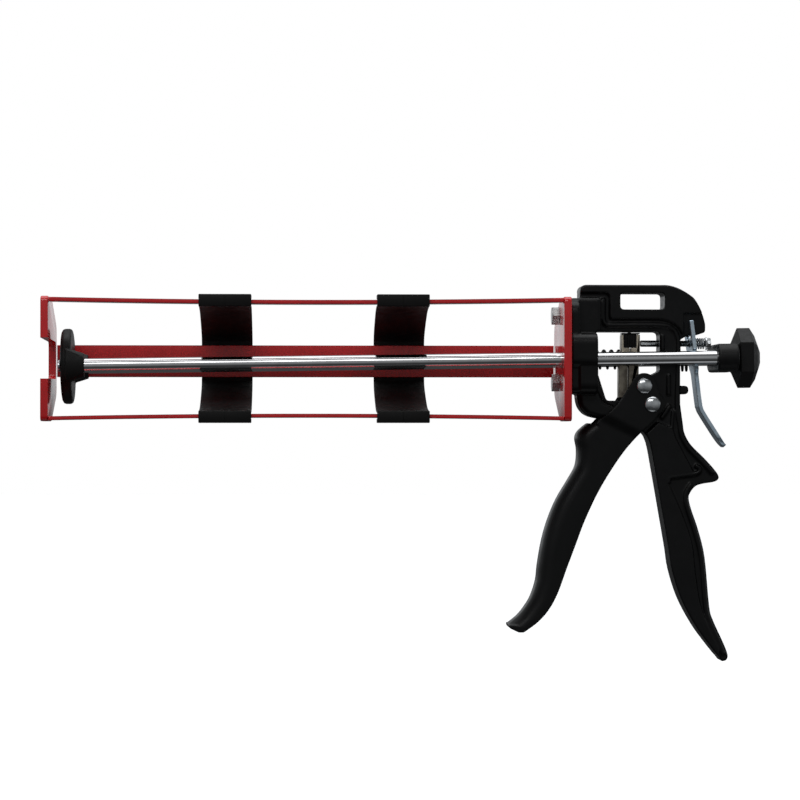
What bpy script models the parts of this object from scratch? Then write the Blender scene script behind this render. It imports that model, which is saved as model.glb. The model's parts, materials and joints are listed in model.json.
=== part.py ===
"""A two-rod dispenser for coaxial cartridges, in metres, +Z up.

+X runs back along the rods to the pull knob, and -Y is the side that the cartridge goes in from.
Positions and sizes are written in millimetres and scaled by MM. They count from the middle of the
rear plate's cartridge-side face, midway between the two push rods. The empty named gun then moves
the whole to its origin, the middle of its bounding box.
"""

import math

import bmesh
import bpy
from mathutils import Matrix, Vector

MM = 0.001
GAP = 0.3                       # left between pieces that touch
REACH = 30.0                    # how far a cutter runs past the part
MIDDLE = (-91.7, 0.0, -66.2)    # the middle of the bounding box

# Carriage
FRONT_PLATE_X = (-301.3, -296.9)
REAR_PLATE_X = (0.0, 4.4)
CARRIAGE_NEAR = -31.0           # Y of the open side
CARRIAGE_FAR = 31.5
CARRIAGE_HALF_HEIGHT = 36.0
CARRIAGE_SHOULDER = -3.0        # Y where the plates start to narrow
CARRIAGE_FAR_HALF = 20.5
SLOT_Z = (-12.0, 12.4)          # the nozzle slot in the front plate
SLOT_BOTTOM = 26.0
STRIP_WIDTH = 12.0
STRIP_THICKNESS = 2.0
TOP_STRIP_Z = 32.9
BOTTOM_STRIP_Z = -35.2
STRIP_BOW = 1.5
BACK_STRIP_HALF = 9.5
CLIP_X = ((-210.8, -180.5), (-108.2, -77.9))
BOLT_Z = (26.0, -13.3)
BOLT_HEAD = (5.7, 4.2)          # radius over the corners, height
BOLT_RADIUS = 3.0
BOLT_END = 15.0
CLIP_LIP_Z = 37.0               # the clips' outer lips

# Rods, which lie at a small angle to the carriage
ROD_DROOP = math.radians(0.777)
ROD_Y = 17.0
ROD_RADIUS = 4.0
ROD_X = (-285.0, 96.0)
ROD_HOLE_RADIUS = 4.8
PUSHER_RADIUS = 22.0
PUSHER_X = (-292.6, -284.7)
PUSHER_BOSS_END = -277.0
PUSHER_BOSS_REACH = 23.2        # from the disc's axis to the bosses' outer sides
SCREW_HEAD = 3.4
SCREW_CORE = 1.3
HUB_X = (90.7, 102.5)
HUB_HALF_HEIGHT = 8.1
HUB_HALF_WIDTH = 25.0
GRIP_RADIUS = 17.8              # over the corners of the knob's hexagon

# Housing
WEB_HALF = 10.5                 # half the thickness of the handle and top bar
COLUMN_X = (4.7, 20.8)
COLUMN_HALF = 25.0
BOSS_HALF = 12.6
PIVOT = (53.1, -25.9)           # X and Z of the trigger's rivet
DRIVE = (48.3, -15.1)           # X and Z of the drive rivet
RIVET_RADIUS = 2.2
ROLLER_RADIUS = 3.0
ROLLER_HALF = 9.0

# Trigger
CHANNEL_HALF = 13.0
CHANNEL_WALL = 2.0
ARM_HALF = (12.95, 15.0)

# Drive, springs and release lever
GRIP_HALF = 5.0                 # the grip plates stand between the rods
GRIP_BOTTOM = -21.9
GRIP_TOP = 15.0
EAR_HALF = 12.6                 # their ears reach the rods' inner sides
EAR_HEIGHT = 3.2
INSERT_X = (37.8, 44.8)
INSERT_BOTTOM = 7.5
SPRING_RADIUS = 5.2             # to the middle of the wire
SPRING_WIRE = 0.8
SPRING_Z = 0.5
SPRING_END = 35.9
LEVER_SPRING_X = (70.9, 77.0)
LEVER_SPRING_Z = -0.8
GUIDE_Z = 9.85
GUIDE_RADIUS = 1.9
LEVER_HINGE = (76.7, 20.0)
LEVER_THICKNESS = 2.3
LEVER_HALF = 14.4
RELEASE_SPRING = (80.0, 86.2)
WASHER_X = (86.4, 87.0)
NUT_X = (87.3, 89.3)
WASHER_RADIUS = 3.9


def clear_scene():
    for obj in list(bpy.data.objects):
        bpy.data.objects.remove(obj)


def paint(name, colour, roughness, metallic=0.0):
    """A Principled material."""
    made = bpy.data.materials.new(name)
    made.use_nodes = True
    shader = made.node_tree.nodes["Principled BSDF"]
    shader.inputs["Base Color"].default_value = (*colour, 1.0)
    shader.inputs["Roughness"].default_value = roughness
    shader.inputs["Metallic"].default_value = metallic
    return made


# ---------------------------------------------------------------- outlines


def arc(centre, radius, start, end, steps):
    """Points of an arc, in degrees anticlockwise from the first axis."""
    points = []
    for step in range(steps + 1):
        angle = math.radians(start + (end - start) * step / steps)
        points.append((centre[0] + radius * math.cos(angle), centre[1] + radius * math.sin(angle)))
    return points


def curve(points, steps=3):
    """A smooth curve through the points, with this many steps between each two."""
    ends = [points[0]] + list(points) + [points[-1]]
    smooth = []
    for before, a, b, after in zip(ends, ends[1:], ends[2:], ends[3:]):
        for step in range(steps):
            t = step / steps
            smooth.append(tuple(
                0.5 * (2 * q + (r - p) * t + (2 * p - 5 * q + 4 * r - s) * t * t
                       + (3 * q - p - 3 * r + s) * t ** 3)
                for p, q, r, s in zip(before, a, b, after)))
    return smooth + [points[-1]]


def rounded(points, radii, steps=4):
    """A closed outline with each corner turned into an arc of its own radius."""
    outline = []
    for index, (corner, radius) in enumerate(zip(points, radii)):
        here = Vector(corner)
        to_last = (Vector(points[index - 1]) - here).normalized()
        to_next = (Vector(points[(index + 1) % len(points)]) - here).normalized()
        half = to_last.angle(to_next) / 2
        if radius <= 0:
            outline.append(tuple(here))
            continue
        centre = here + (to_last + to_next).normalized() * radius / math.sin(half)
        start = here + to_last * radius / math.tan(half) - centre
        turn = start.angle_signed(here + to_next * radius / math.tan(half) - centre)
        for step in range(steps + 1):
            outline.append(tuple(centre + Matrix.Rotation(-turn * step / steps, 2) @ start))
    return outline


def mirrored(points):
    """The outline's other half, with its second coordinate's sign changed."""
    return [(first, -second) for first, second in reversed(points)]


def in_space(axis, along, point):
    """A point of an outline, as the (X, Y, Z) of a plane square to the axis."""
    first, second = point
    if axis == "X":
        return Vector((along, first, second)) * MM
    if axis == "Y":
        return Vector((first, along, second)) * MM
    return Vector((first, second, along)) * MM


# ---------------------------------------------------------------- solids


def tidy(bm):
    bmesh.ops.remove_doubles(bm, verts=bm.verts, dist=1e-7)
    bmesh.ops.recalc_face_normals(bm, faces=bm.faces)
    return bm


def loft(rings):
    """A capped solid through rings of points of the same count."""
    bm = bmesh.new()
    loops = [[bm.verts.new(point) for point in ring] for ring in rings]
    bm.faces.new(list(reversed(loops[0])))
    bm.faces.new(loops[-1])
    for low, high in zip(loops, loops[1:]):
        for index in range(len(low)):
            after = (index + 1) % len(low)
            bm.faces.new((low[index], low[after], high[after], high[index]))
    return tidy(bm)


def prism(axis, outline, low, high):
    """The outline, extruded along the axis from low to high."""
    return loft([[in_space(axis, along, point) for point in outline] for along in (low, high)])


def turned(axis, centre, profile, sides=28):
    """A solid of revolution: the profile holds (distance along the axis, radius)."""
    rings = []
    for along, radius in profile:
        rings.append([
            in_space(axis, along, point)
            for point in arc(centre, radius, 0, 360 - 360 / sides, sides - 1)
        ])
    return loft(rings)


def rod(axis, centre, radius, low, high, sides=28):
    return turned(axis, centre, [(low, radius), (high, radius)], sides)


def box(low, high):
    corners = [(low[1], low[2]), (high[1], low[2]), (high[1], high[2]), (low[1], high[2])]
    return prism("X", corners, low[0], high[0])


def coil(low, high, radius, wire, turns, height, sides=6, per_turn=14):
    """A round-wire spring along X, at Y = 0 and the height given."""
    rings = []
    count = round(turns * per_turn)
    for step in range(count + 1):
        angle = 2 * math.pi * step / per_turn
        along = low + wire + (high - low - 2 * wire) * step / count
        outward = Vector((0, -math.sin(angle), math.cos(angle)))
        middle = Vector((along, 0, height)) + outward * radius
        ring = []
        for side in range(sides):
            turn = 2 * math.pi * side / sides
            offset = outward * math.cos(turn) + Vector((1, 0, 0)) * math.sin(turn)
            ring.append((middle + offset * wire) * MM)
        rings.append(ring)
    return loft(rings)


def combine(base, tools, operation):
    """The first solid with the others cut from it or joined to it."""
    target = bpy.data.objects.new("base", bpy.data.meshes.new("base"))
    bpy.context.scene.collection.objects.link(target)
    base.to_mesh(target.data)
    base.free()
    for tool in tools:
        helper = bpy.data.objects.new("tool", bpy.data.meshes.new("tool"))
        bpy.context.scene.collection.objects.link(helper)
        tool.to_mesh(helper.data)
        tool.free()
        step = target.modifiers.new("step", "BOOLEAN")
        step.operation = operation
        step.solver = "EXACT"
        step.object = helper
        bpy.context.view_layer.update()
        graph = bpy.context.evaluated_depsgraph_get()
        result = bpy.data.meshes.new_from_object(target.evaluated_get(graph))
        target.modifiers.clear()
        target.data = result
        bpy.data.objects.remove(helper)
    made = bmesh.new()
    made.from_mesh(target.data)
    bpy.data.objects.remove(target)
    return made


def cut(base, *tools):
    return combine(base, tools, "DIFFERENCE")


def join(base, *tools):
    return combine(base, tools, "UNION")


def empty(name, parent=None):
    made = bpy.data.objects.new(name, None)
    made.parent = parent
    bpy.context.scene.collection.objects.link(made)
    return made


def piece(name, bm, material, origin=(0, 0, 0), parent=None):
    """The named object, with its origin where its joint turns or slides."""
    start = Vector(origin) * MM
    bmesh.ops.translate(bm, verts=bm.verts, vec=-start)
    mesh = bpy.data.meshes.new(name)
    bm.to_mesh(mesh)
    bm.free()
    mesh.materials.append(material)
    mesh.shade_smooth()
    mesh.set_sharp_from_angle(angle=math.radians(35))
    obj = bpy.data.objects.new(name, mesh)
    obj.location = start
    obj.parent = parent or bpy.data.objects["gun"]
    bpy.context.scene.collection.objects.link(obj)
    return obj


# ---------------------------------------------------------------- carriage


def plate_outline():
    points = [
        (CARRIAGE_NEAR, -CARRIAGE_HALF_HEIGHT),
        (CARRIAGE_SHOULDER, -CARRIAGE_HALF_HEIGHT),
        (CARRIAGE_FAR, -CARRIAGE_FAR_HALF),
        (CARRIAGE_FAR, CARRIAGE_FAR_HALF),
        (CARRIAGE_SHOULDER, CARRIAGE_HALF_HEIGHT),
        (CARRIAGE_NEAR, CARRIAGE_HALF_HEIGHT),
    ]
    return rounded(points, (3, 12, 8, 8, 12, 3))


def build_plates(red):
    front = prism("X", plate_outline(), *FRONT_PLATE_X)
    slot = rounded([
        (CARRIAGE_NEAR - REACH, SLOT_Z[0]), (SLOT_BOTTOM, SLOT_Z[0] + 1.2),
        (SLOT_BOTTOM, SLOT_Z[1] - 1.2), (CARRIAGE_NEAR - REACH, SLOT_Z[1]),
    ], (0, 3, 3, 0))
    through = prism("X", slot, FRONT_PLATE_X[0] - REACH, FRONT_PLATE_X[1] + REACH)
    piece("front_plate", cut(front, through), red)
    rear = prism("X", plate_outline(), *REAR_PLATE_X)
    holes = [rod("X", (side * ROD_Y, 0), ROD_HOLE_RADIUS, -REACH, REACH) for side in (-1, 1)]
    holes += [rod("X", (0, height), BOLT_RADIUS + GAP, -REACH, REACH, 20) for height in BOLT_Z]
    piece("rear_plate", cut(rear, *holes), red)


def build_strips(red):
    low = FRONT_PLATE_X[1] + GAP
    high = REAR_PLATE_X[0] - GAP
    middle = (low + high) / 2
    half = (high - low) / 2
    steps = 12
    for name, bottom, bow in (
        ("top_strip", TOP_STRIP_Z, -STRIP_BOW), ("bottom_strip", BOTTOM_STRIP_Z, STRIP_BOW),
    ):
        rings = []
        for step in range(steps + 1):
            along = low + (high - low) * step / steps
            base = bottom + bow * (1 - ((along - middle) / half) ** 2)
            rings.append([in_space("X", along, point) for point in (
                (CARRIAGE_NEAR, base), (CARRIAGE_NEAR + STRIP_WIDTH, base),
                (CARRIAGE_NEAR + STRIP_WIDTH, base + STRIP_THICKNESS),
                (CARRIAGE_NEAR, base + STRIP_THICKNESS),
            )])
        piece(name, loft(rings), red)
    back = box((low, CARRIAGE_FAR - STRIP_THICKNESS, -BACK_STRIP_HALF),
               (high, CARRIAGE_FAR, BACK_STRIP_HALF))
    piece("back_strip", back, red)


def clip_outline():
    """A cradle behind the carriage, whose two ends hook over the strips' near edges."""
    outer = [
        (-22.0, 34.3), (-31.3, 34.3), (-31.3, 31.2), (-17.0, 31.1), (-9.0, 30.3),
        (8.6, 26.7), (32.0, 17.2), (34.4, 13.8),
    ]
    inner = [
        (32.4, 13.4), (30.8, 15.4), (8.0, 24.7), (-10.0, 28.5), (-24.0, 29.3), (-33.5, 29.3),
        (-33.5, CLIP_LIP_Z), (-22.0, CLIP_LIP_Z),
    ]
    return outer + mirrored(outer) + mirrored(inner) + inner


def build_clips(black):
    for name, span in zip(("front_clip", "rear_clip"), CLIP_X):
        piece(name, prism("X", clip_outline(), *span), black)


def build_carriage_bolts(zinc):
    radius, height = BOLT_HEAD
    for name, centre in zip(("upper_carriage_bolt", "lower_carriage_bolt"), BOLT_Z):
        head = turned("X", (0, centre), [
            (-GAP - height, radius * 0.88), (-GAP - height * 0.86, radius), (-GAP, radius)], 6)
        shank = rod("X", (0, centre), BOLT_RADIUS, -GAP - 1, BOLT_END, 16)
        piece(name, join(head, shank), zinc)


# ---------------------------------------------------------------- rods


def build_rods(steel, black, zinc):
    frame = empty("rods_frame", bpy.data.objects["gun"])
    frame.rotation_euler = (0, -ROD_DROOP, 0)
    sides = {"left": -ROD_Y, "right": ROD_Y}
    for side, across in sides.items():
        bar = rod("X", (across, 0), ROD_RADIUS, *ROD_X)
        seat = rod("Z", (HUB_X[0] + 2.5, across), SCREW_CORE + GAP, -9, -2.6, 12)
        tap = rod("X", (across, 0), SCREW_CORE + GAP, ROD_X[0] - 5, ROD_X[0] + 9, 12)
        piece(f"{side}_push_rod", cut(bar, seat, tap), steel, (0, across, 0), frame)
        screw = turned("X", (across, 0), [
            (PUSHER_X[0] + 0.4, SCREW_HEAD), (PUSHER_X[0] + 1.4, SCREW_HEAD),
            (PUSHER_X[0] + 3.0, SCREW_CORE), (ROD_X[0] + 8.0, SCREW_CORE)], 16)
        piece(f"{side}_pusher_screw", screw, zinc, (PUSHER_X[0], across, 0), frame)
        grub = rod("Z", (HUB_X[0] + 2.5, across), SCREW_CORE, -HUB_HALF_HEIGHT + 0.4, -3.0, 12)
        piece(f"{side}_knob_screw", grub, zinc, (HUB_X[0] + 2.5, across, 0), frame)
    build_pusher(black, sides.values(), frame)
    build_knob(black, sides.values(), frame)


def build_pusher(black, rods, frame):
    """The disc with two bosses, blind holes for the rod ends and countersunk screw holes."""
    start, end = PUSHER_X
    rim = 1.6
    disc = turned("X", (0, 0), [
        (start, PUSHER_RADIUS - rim), (start + rim * 0.3, PUSHER_RADIUS - rim * 0.3),
        (start + rim, PUSHER_RADIUS), (end - rim, PUSHER_RADIUS),
        (end - rim * 0.3, PUSHER_RADIUS - rim * 0.3), (end, PUSHER_RADIUS - rim)], 40)
    bosses = []
    for across in rods:
        cone = turned("X", (across, 0), [(end - 3, 10.4), (end + 3.5, 8.8), (PUSHER_BOSS_END, 7.2)], 24)
        limit = rod("X", (0, 0), PUSHER_BOSS_REACH, end - REACH, 0, 40)
        bosses.append(combine(cone, [limit], "INTERSECT"))
    web = box((end - 2, -ROD_Y, -5), (end + 3.2, ROD_Y, 5))
    solid = join(disc, web, *bosses)
    holes = []
    for across in rods:
        holes.append(rod("X", (across, 0), ROD_RADIUS + GAP, ROD_X[0] - GAP, 0, 24))
        holes.append(turned("X", (across, 0), [
            (start - 2, SCREW_HEAD + GAP), (start + 1.5, SCREW_HEAD + GAP),
            (start + 3.3, SCREW_CORE + GAP), (ROD_X[0] + 4, SCREW_CORE + GAP)], 20))
    piece("pusher", cut(solid, *holes), black, (0, 0, 0), frame)


def build_knob(black, rods, frame):
    start, end = HUB_X
    straight = HUB_HALF_WIDTH - HUB_HALF_HEIGHT
    stadium = arc((straight, 0), HUB_HALF_HEIGHT, -90, 90, 8)
    stadium += arc((-straight, 0), HUB_HALF_HEIGHT, 90, 270, 8)
    hub = prism("X", stadium, start, end)
    profile = [
        (end - 1.5, 8.5), (102.4, 9.5), (104.6, 16.9), (105.4, GRIP_RADIUS), (112.6, GRIP_RADIUS),
        (115.6, 12.6), (117.4, 8.0), (118.0, 5.5),
    ]
    rings = []
    for along, radius in profile:
        rings.append([in_space("X", along, point) for point in arc((0, 0), radius, 30, 330, 5)])
    holes = []
    for across in rods:
        holes.append(rod("X", (across, 0), ROD_RADIUS + GAP, start - 5, ROD_X[1] + GAP, 24))
        holes.append(rod("Z", (start + 2.5, across), SCREW_CORE + GAP, -12, -1, 12))
    piece("pull_knob", cut(join(hub, loft(rings)), *holes), black, (0, 0, 0), frame)


# ---------------------------------------------------------------- housing


def housing_outline():
    """The side view of the housing and its handle."""
    top = rounded([(9.6, 36.0), (9.6, 44.1), (20.0, 44.1)], (0, 3, 0))
    hook = curve([(57.9, 44.1), (69.0, 41.4), (75.6, 34.6), (81.2, 26.8), (84.2, 19.5), (84.2, 16.2)])
    under_hook = [(79.7, 14.5), (75.0, 14.5), (70.4, 11.9)]
    nub = [(70.4, -14.9), (75.4, -15.4), (75.8, -16.4), (75.8, -18.9), (75.0, -19.9), (70.7, -20.3)]
    back = curve([(71.0, -36.9), (72.0, -42.9), (75.7, -49.6), (83.7, -57.6), (90.1, -64.8),
                  (92.2, -68.6), (91.1, -70.6), (88.5, -71.6), (82.3, -72.6), (78.1, -74.2),
                  (75.0, -78.3), (74.5, -81.5), (76.0, -87.7), (80.2, -100.2), (83.8, -115.8),
                  (86.4, -143.8), (88.5, -152.1), (94.7, -165.7), (97.3, -172.9), (96.3, -175.9),
                  (93.7, -176.6)], 2)
    front = curve([(91.6, -174.5), (85.3, -166.7), (77.1, -155.3), (68.8, -139.7), (63.5, -123.0),
                   (61.4, -109.5), (57.3, -85.6), (53.7, -64.8), (50.5, -48.2), (46.9, -42.1)], 2)
    belly = [(38.0, -36.5), (23.3, -34.4), (15.4, -32.2), (11.1, -27.7), (9.6, -23.2)]
    return top[:-1] + hook + under_hook + nub + back + front + belly


def housing_openings():
    """The hanging slot, the mechanism window, and the holes."""
    slot = rounded([(34.6, 29.3), (58.5, 29.3), (58.5, 38.6), (34.6, 38.6)], (2, 2, 2, 2))
    window = rounded([
        (COLUMN_X[1], 16.6), (COLUMN_X[1], -3.0), (26.1, -23.8), (45.5, -23.8), (52.2, -18.3), (52.2, -9.4),
        (56.2, -6.6), (56.2, 16.6),
    ], (1, 1, 2, 2, 1, 1, 1, 2), 2)
    tools = [prism("Y", slot, -REACH, REACH), prism("Y", window, -REACH, REACH)]
    tools.append(rod("Y", PIVOT, RIVET_RADIUS + GAP, -REACH, REACH, 20))
    tools.append(rod("X", (0, GUIDE_Z), GUIDE_RADIUS + GAP, 50, 75, 16))
    for side in (-1, 1):
        tools.append(rod("X", (side * ROD_Y, 0.2), ROD_HOLE_RADIUS, 0, REACH))
    for height in BOLT_Z:
        tools.append(rod("X", (0, height), BOLT_RADIUS + GAP, 0, BOLT_END + 1, 20))
    return tools


def build_housing(black):
    web = prism("Y", housing_outline(), -WEB_HALF, WEB_HALF)
    column = prism("X", rounded([(-COLUMN_HALF, -20), (COLUMN_HALF, -20), (COLUMN_HALF, 22),
                                 (-COLUMN_HALF, 22)], (8, 8, 8, 8), 3), *COLUMN_X)
    upper = prism("X", rounded([(-15, 10), (15, 10), (15, 34.4), (-15, 34.4)], (3, 3, 3, 3), 2), 4.7, 16.0)
    pivot = rod("Y", PIVOT, 7.6, -BOSS_HALF, BOSS_HALF, 24)
    # the hook is thinner where the release lever's fork straddles it
    slims = [box((72.2, side[0], 5), (90, side[1], 26.5)) for side in ((-14, -8.7), (8.7, 14))]
    solid = join(web, column, upper, pivot)
    piece("handle_body", cut(solid, *slims, *housing_openings()), black)


def build_rivet(name, place, zinc):
    """A pin across the housing with a domed head over each of the trigger's arms."""
    dome = [(0.0, 4.8), (0.9, 4.5), (1.9, 3.4), (2.5, 1.6)]
    seat = ARM_HALF[1] + GAP
    profile = [(-seat - rise, radius) for rise, radius in reversed(dome)]
    profile += [(-seat, RIVET_RADIUS), (seat, RIVET_RADIUS)]
    profile += [(seat + rise, radius) for rise, radius in dome]
    piece(name, turned("Y", place, profile, 20), zinc, (place[0], 0, place[1]))


# ---------------------------------------------------------------- trigger


def trigger_front():
    return curve([(16.2, -36.3), (9.0, -42.0), (7.4, -45.7), (8.4, -52.4), (7.9, -61.7),
                  (3.8, -70.0), (-2.5, -81.4), (-7.1, -92.8), (-10.7, -105.3), (-13.3, -119.8),
                  (-14.4, -129.1), (-17.4, -138.4), (-21.1, -144.6), (-25.2, -149.8),
                  (-31.0, -154.5)], 2)


def trigger_outline():
    tail = [(-30.4, -156.6), (-25.2, -159.1), (-22.1, -159.1)]
    back = curve([(-13.8, -152.9), (-7.6, -145.7), (-2.5, -136.3), (2.8, -121.8), (7.9, -108.3),
                  (13.1, -93.8), (20.3, -77.3), (28.6, -62.8), (36.9, -51.3), (45.8, -42.0)], 2)
    top = [(43.0, -37.0), (27.5, -31.0), (22.4, -34.7)]
    return trigger_front() + tail + back + top


def arm_outline():
    around = arc(DRIVE, 7.4, 160, 20, 8)
    return [(35.0, -23.4)] + around + [(57.1, -19.0), (57.9, -25.0), (57.7, -29.5), (54.4, -34.8),
                                       (45.8, -42.0), (40.0, -42.0), (27.5, -31.0)]


def build_trigger(black):
    """A channel open to the rear, whose two arms straddle the housing."""
    channel = prism("Y", trigger_outline(), -CHANNEL_HALF, CHANNEL_HALF)
    front = [(x + CHANNEL_WALL * 1.15, z) for x, z in trigger_front()]
    hollow = front[:-2] + [(-19.0, -152.6), (40.0, -152.6), (80.0, -20.0), (18.3, -20.0)]
    inner = CHANNEL_HALF - CHANNEL_WALL
    solid = cut(channel, prism("Y", hollow, -inner, inner))
    near, far = ARM_HALF
    joggle = [(27.5, -31.0), (45.0, -39.0), (45.8, -42.0), (36.0, -42.5), (24.0, -34.2)]
    extras = []
    for side in (-1, 1):
        extras.append(prism("Y", arm_outline(), *sorted((side * near, side * far))))
        extras.append(prism("Y", joggle, *sorted((side * (inner + 0.2), side * (far - 0.1)))))
    solid = join(solid, *extras)
    holes = [rod("Y", place, RIVET_RADIUS + GAP, -REACH, REACH, 20) for place in (PIVOT, DRIVE)]
    pivot = (PIVOT[0], 0, PIVOT[1])
    piece("trigger_lever", cut(solid, *holes), black, pivot)


# ---------------------------------------------------------------- drive and springs


def front_grip_outline():
    """The side view of the plate that leans on the return spring."""
    low = [(34.8, GRIP_BOTTOM), (39.6, GRIP_BOTTOM), (39.7, -2.0), (40.9, 4.4)]
    pocket = [(40.9, INSERT_BOTTOM - GAP), (INSERT_X[0] - GAP, INSERT_BOTTOM - GAP)]
    return low + pocket + [(INSERT_X[0] - GAP, GRIP_TOP), (36.4, GRIP_TOP), (36.2, 4.4), (34.9, -2.0)]


def rear_grip_outline():
    """The side view of the plate that the trigger's roller pushes, narrower at the roller."""
    low = [(40.5, GRIP_BOTTOM), (45.0, GRIP_BOTTOM), (45.0, -10.8), (46.3, -10.8), (46.4, -2.0), (47.1, 4.4)]
    pocket = [(INSERT_X[1] + GAP, GRIP_TOP), (INSERT_X[1] + GAP, INSERT_BOTTOM - GAP)]
    return low + [(47.1, GRIP_TOP)] + pocket + [(41.9, INSERT_BOTTOM - GAP), (41.9, 4.4), (40.6, -2.0)]


def build_drive(bronze, black):
    ears = {"front_grip_plate": (35.3, 39.8), "rear_grip_plate": (41.0, 46.0)}
    outlines = {"front_grip_plate": front_grip_outline(), "rear_grip_plate": rear_grip_outline()}
    for name, (start, end) in ears.items():
        bar = prism("Y", outlines[name], -GRIP_HALF, GRIP_HALF)
        piece(name, join(bar, box((start, -EAR_HALF, -EAR_HEIGHT), (end, EAR_HALF, EAR_HEIGHT))), bronze)
    ribs = 7
    reach = GRIP_HALF + GAP
    insert = box((INSERT_X[0], -reach, INSERT_BOTTOM), (INSERT_X[1], reach, GRIP_TOP))
    flange = box((36.4, -reach, GRIP_TOP + GAP), (47.1, reach, GRIP_TOP + 1.0))
    neck = box((40.6, -2, GRIP_TOP - 1), (42.2, 2, GRIP_TOP + 1.4))
    pitch = (INSERT_X[1] - INSERT_X[0]) / ribs
    grooves = []
    for rib in range(1, ribs):
        middle = INSERT_X[0] + rib * pitch
        for side in (-1, 1):
            low, high = sorted((side * (reach - 0.5), side * REACH))
            grooves.append(box((middle - 0.2, low, 0), (middle + 0.2, high, GRIP_TOP)))
    piece("grip_insert", join(cut(insert, *grooves), flange, neck), black)


def build_springs(zinc, black):
    spring = coil(COLUMN_X[1] + GAP, SPRING_END, SPRING_RADIUS, SPRING_WIRE, 3, SPRING_Z)
    piece("return_spring", spring, black)
    push_back = coil(*LEVER_SPRING_X, SPRING_RADIUS, 0.7, 2, LEVER_SPRING_Z)
    piece("lever_spring", push_back, black)
    small = coil(*RELEASE_SPRING, 2.9, 0.45, 4, GUIDE_Z)
    piece("release_spring", small, zinc)


def build_guide(zinc):
    bolt = turned("X", (0, GUIDE_Z), [
        (47.7, GUIDE_RADIUS - 0.5), (48.2, GUIDE_RADIUS), (89.2, GUIDE_RADIUS),
        (89.6, GUIDE_RADIUS - 0.4)], 16)
    piece("guide_bolt", bolt, zinc)
    for name, span, sides in (("release_washer", WASHER_X, 20), ("release_nut", NUT_X, 6)):
        ring = rod("X", (0, GUIDE_Z), WASHER_RADIUS, *span, sides)
        bore = rod("X", (0, GUIDE_Z), GUIDE_RADIUS + GAP, 80, 95, 16)
        piece(name, cut(ring, bore), zinc)


def build_release(zinc):
    """A bent plate that hangs behind the housing, forked over the hook at its top."""
    middle = [(76.2, 23.2), (82.2, -26.4), (83.6, -30.4), (94.6, -47.6), (97.4, -50.6)]
    half = LEVER_THICKNESS / 2
    front = [(x - half, z) for x, z in middle[:2]]
    front += [(x - half * 0.9, z - half * 0.6) for x, z in middle[2:]]
    rear = [(x + half, z) for x, z in middle[:2]]
    rear += [(x + half * 0.9, z + half * 0.6) for x, z in middle[2:]]
    strip = prism("Y", front + list(reversed(rear)), -LEVER_HALF, LEVER_HALF)
    waist, tail = 12.3, 8.0
    half_view = [(LEVER_HALF, 30), (LEVER_HALF, 6.6), (waist, 6.0), (waist, -4.2), (tail, -8.5),
                 (tail, -46.0), (5.5, -50.0), (3.0, -53.0)]
    view = half_view + [(-y, z) for y, z in reversed(half_view)]
    outside = cut(box((60, -20, -60), (110, 20, 40)), prism("X", view, 50, 120))
    fork = box((60, -9.3, 12.9), (110, 9.3, 40))
    hole = rod("X", (0, GUIDE_Z), GUIDE_RADIUS + 0.8, 60, 110, 16)
    hinge = (LEVER_HINGE[0], 0, LEVER_HINGE[1])
    piece("release_lever", cut(strip, outside, fork, hole), zinc, hinge)


def main():
    clear_scene()
    empty("gun").location = -Vector(MIDDLE) * MM
    red = paint("red_paint", (0.55, 0.02, 0.03), 0.25)
    black = paint("black_paint", (0.012, 0.012, 0.013), 0.35)
    plastic = paint("black_plastic", (0.02, 0.02, 0.021), 0.5)
    chrome = paint("chrome", (0.75, 0.75, 0.76), 0.12, 1.0)
    zinc = paint("zinc", (0.62, 0.66, 0.7), 0.3, 1.0)
    bronze = paint("bronze", (0.33, 0.29, 0.2), 0.4, 1.0)
    build_plates(red)
    build_strips(red)
    build_clips(plastic)
    build_carriage_bolts(zinc)
    build_rods(chrome, plastic, zinc)
    build_housing(black)
    build_trigger(black)
    build_rivet("pivot_rivet", PIVOT, zinc)
    build_rivet("drive_rivet", DRIVE, zinc)
    sleeve = cut(rod("Y", DRIVE, ROLLER_RADIUS, -ROLLER_HALF, ROLLER_HALF, 20),
                 rod("Y", DRIVE, RIVET_RADIUS + 0.2, -REACH, REACH, 20))
    piece("drive_roller", sleeve, zinc, (DRIVE[0], 0, DRIVE[1]))
    build_drive(bronze, black)
    build_springs(zinc, black)
    build_guide(zinc)
    build_release(zinc)


main()
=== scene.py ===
# %% [markdown]
# # A two-rod cartridge gun, dressed for its portrait
#
# The mechanism is already designed: its bodies and joints come in as a fixed frame. This script gives
# each piece its finished surface. Every shape is drawn in millimetres, counted from the middle of the
# rear plate's front face, because that is how a maker would measure the gun on a bench. One helper
# turns the finished shape into metres and puts it where the frame says.

# %% Load the frame
import json
import math

import bmesh
import bpy
from mathutils import Matrix, Vector


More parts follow.
